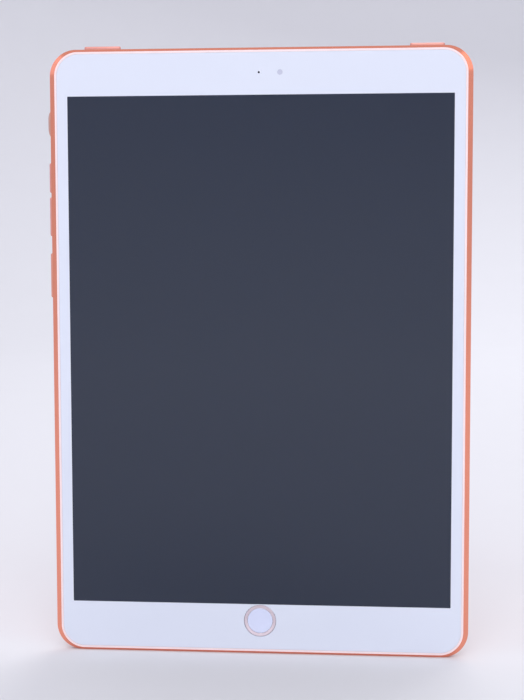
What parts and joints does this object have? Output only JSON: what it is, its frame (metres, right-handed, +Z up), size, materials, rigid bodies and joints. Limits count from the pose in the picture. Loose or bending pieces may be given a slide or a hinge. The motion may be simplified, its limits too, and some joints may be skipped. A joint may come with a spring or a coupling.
{
  "type": "tablet computer",
  "caption": "Thin rectangular tablet computer with a 4:3 glass screen, pressable home button and side keys, a sliding mute switch and a card tray that pulls out.",
  "frame": {"origin": "centre of the flat back face", "axes": "+Z up along the long side, +X to the right of someone facing the screen, the screen faces -Y and the back faces +Y"},
  "size_m": [0.1763, 0.007, 0.2554],
  "materials": {
    "aluminium": "fine blasted and anodised, rose gold",
    "polished": "polished and anodised, rose gold",
    "cover_glass": "polished",
    "button_glass": "polished, white ink behind",
    "lens": "polished",
    "diffuser": "frosted",
    "mask": "printed ink film, white",
    "panel": "laminated, dark when off",
    "steel": "pressed sheet",
    "cell": "laminated foil pouch, black",
    "pad": "adhesive sheet",
    "adhesive": "foam adhesive",
    "gasket": "moulded silicone",
    "board": "glass-fibre laminate",
    "chip": "moulded resin",
    "flex": "polyimide film",
    "plastic": "moulded",
    "band": "moulded, dyed to match the metal",
    "mesh": "woven, black",
    "antenna": "plated"
  },
  "bodies": {
    "tablet": {"rear_housing": "aluminium", "rear_camera_ring": "polished", "cover_glass": "cover_glass", "rear_camera_window": "lens", "front_camera_module": "lens", "flash_window": "diffuser", "backlight_unit": "diffuser", "bezel_mask": "mask", "lcd_panel": "panel", "screen_back_plate": "steel", "home_button_bracket": "steel", "card_reader": "steel", "charge_port_shell": "steel", "processor_shield": "steel", "radio_shield": "steel", "bottom_microphone": "steel", "board_screw_1": "steel", "board_screw_2": "steel", "board_screw_3": "steel", "board_screw_4": "steel", "battery_cell_left": "cell", "battery_cell_right": "cell", "battery_pad_left": "pad", "battery_pad_right": "pad", "glass_adhesive": "adhesive", "main_board": "board", "battery_board": "board", "charge_port_board": "board", "processor": "chip", "storage_chip": "chip", "rear_camera_module": "chip", "display_flex": "flex", "power_key_flex": "flex", "function_key_flex": "flex", "side_key_flex": "flex", "ambient_light_sensor": "plastic", "home_button_switch": "plastic", "power_switch": "plastic", "function_switch": "plastic", "volume_up_switch": "plastic", "volume_down_switch": "plastic", "mute_switch": "plastic", "charge_port_tongue": "plastic", "headphone_socket": "plastic", "speaker_left": "plastic", "speaker_right": "plastic", "antenna_band": "band", "speaker_mesh_left": "mesh", "speaker_mesh_right": "mesh", "wifi_antenna": "antenna", "cellular_antenna": "antenna"},
    "home_button": {"home_button_ring": "polished", "home_button_cap": "button_glass", "home_button_carrier": "gasket"},
    "power_key": {"power_key": "polished"},
    "function_key": {"function_key": "polished"},
    "volume_up_key": {"volume_up_key": "polished"},
    "volume_down_key": {"volume_down_key": "polished"},
    "mute_slider": {"mute_slider": "polished"},
    "card_tray": {"card_tray": "polished"}
  },
  "joints": [
    {"name": "home_button_press", "type": "slide", "parent": "tablet", "child": "home_button", "axis": [0, 1, 0], "range_m": [0, 0.00025], "stiffness_N_per_m": 400, "springref_m": -0.002},
    {"name": "power_key_press", "type": "slide", "parent": "tablet", "child": "power_key", "axis": [0, 0, -1], "range_m": [0, 0.0004], "stiffness_N_per_m": 400, "springref_m": -0.002},
    {"name": "function_key_press", "type": "slide", "parent": "tablet", "child": "function_key", "axis": [0, 0, -1], "range_m": [0, 0.0004], "stiffness_N_per_m": 400, "springref_m": -0.002},
    {"name": "volume_up_key_press", "type": "slide", "parent": "tablet", "child": "volume_up_key", "axis": [1, 0, 0], "range_m": [0, 0.0004], "stiffness_N_per_m": 400, "springref_m": -0.002},
    {"name": "volume_down_key_press", "type": "slide", "parent": "tablet", "child": "volume_down_key", "axis": [1, 0, 0], "range_m": [0, 0.0004], "stiffness_N_per_m": 400, "springref_m": -0.002},
    {"name": "mute_slide", "type": "slide", "parent": "tablet", "child": "mute_slider", "axis": [0, 0, -1], "range_m": [0, 0.002]},
    {"name": "card_tray_slide", "type": "slide", "parent": "tablet", "child": "card_tray", "axis": [-1, 0, 0], "range_m": [0, 0.019]}
  ]
}
